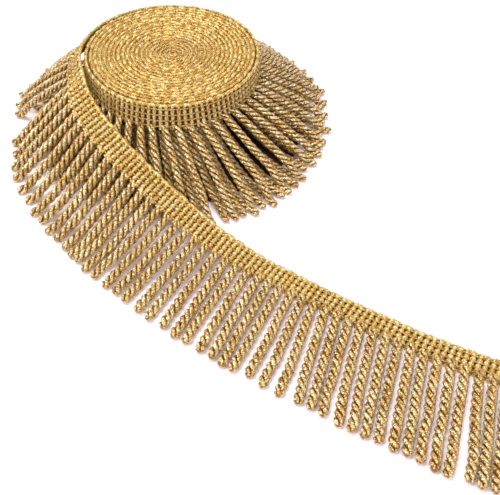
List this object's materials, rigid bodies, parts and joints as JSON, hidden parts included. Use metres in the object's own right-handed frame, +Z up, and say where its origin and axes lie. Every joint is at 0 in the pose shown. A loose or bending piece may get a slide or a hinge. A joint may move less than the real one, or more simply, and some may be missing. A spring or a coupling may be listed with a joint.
{
  "type": "bullion fringe trim",
  "caption": "Gold bullion fringe trim wound into a flat-topped roll that stands on its twisted fringe, with a loose end that slopes down and lies flat in front.",
  "frame": {"origin": "on the surface that the roll stands on, where the axis of the winding meets it", "axes": "+Z up along the axis of the winding; the loose end leaves the roll on its -X side, passes in front on the -Y side and ends towards +X"},
  "size_m": [0.2099, 0.2654, 0.0372],
  "materials": {
    "heading_yarn": "tightly woven metallised yarn, bright yellow gold with a fine sparkle",
    "strand_yarn": "thick plied twist of metallised yarn, old gold, slightly fuzzy at the tips"
  },
  "bodies": {
    "root": {"roll": "heading_yarn", "tail_heading": "heading_yarn", "skirt_fringe_outer": "strand_yarn", "skirt_fringe_inner": "strand_yarn", "tail_fringe_sloping": "strand_yarn", "tail_fringe_flat": "strand_yarn"}
  },
  "joints": []
}
